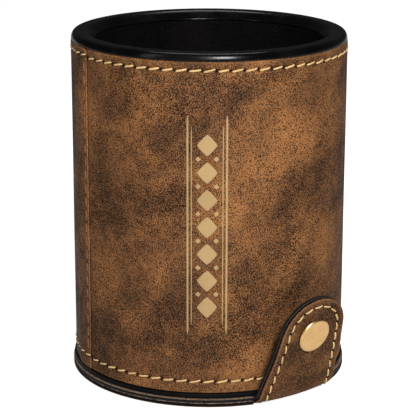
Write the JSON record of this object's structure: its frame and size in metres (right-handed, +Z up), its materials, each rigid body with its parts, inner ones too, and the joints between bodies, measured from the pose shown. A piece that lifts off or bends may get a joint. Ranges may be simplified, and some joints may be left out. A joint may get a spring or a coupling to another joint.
{
  "type": "pen holder cup",
  "caption": "Leatherette-wrapped round cup for pens or dice, with a black rim, a flocked lining and a snap-closed compartment in its base.",
  "frame": {"origin": "on the cup's axis, at the centre of the closed flap's underside, which stands on the desk", "axes": "+Z up along the cup's axis, -Y towards the snap tab (front), +Y towards the flap's leather hinge (back)"},
  "size_m": [0.0846, 0.0975, 0.1046],
  "materials": {
    "leatherette": "rustic brown, mottled, fine grain",
    "lining_fabric": "black backing of the flap and tab",
    "flock": "black velvet flock",
    "black_gloss": "black moulded plastic, satin gloss",
    "black_plastic": "black moulded plastic, matt",
    "greyboard": "pressed board stiffener",
    "thread": "pale gold sewing thread",
    "brown_thread": "brown sewing thread",
    "brass": "pale satin brass"
  },
  "bodies": {
    "cup": {"shell_tube": "black_plastic", "inner_cup": "black_plastic", "rim_ring": "black_gloss", "base_ring": "black_gloss", "lining_sleeve": "flock", "lining_floor": "flock", "wrap_panel": "leatherette", "wrap_top_stitching": "thread", "wrap_bottom_stitching": "thread", "wrap_seam_stitching": "brown_thread", "snap_stud": "brass", "stud_rivet": "brass", "hinge_tongue_lining": "lining_fabric", "hinge_tongue_cover": "leatherette", "hinge_tongue_stitching": "thread"},
    "base_flap": {"flap_cover": "leatherette", "flap_board": "greyboard", "flap_lining": "lining_fabric", "flap_stitching": "thread"},
    "snap_tab": {"tab_cover": "leatherette", "tab_lining": "lining_fabric", "tab_stitching": "thread", "snap_cap": "brass", "snap_socket": "brass", "socket_spring": "brass"}
  },
  "joints": [
    {"name": "flap_hinge", "type": "hinge", "parent": "cup", "child": "base_flap", "pos_m": [0, 0.0431, 0.00115], "axis": [1, 0, 0], "range_deg": [0, 120]},
    {"name": "tab_bend", "type": "hinge", "parent": "base_flap", "child": "snap_tab", "pos_m": [0, -0.04244, 0.00126], "axis": [1, 0, 0], "range_deg": [0, 73.8]}
  ]
}
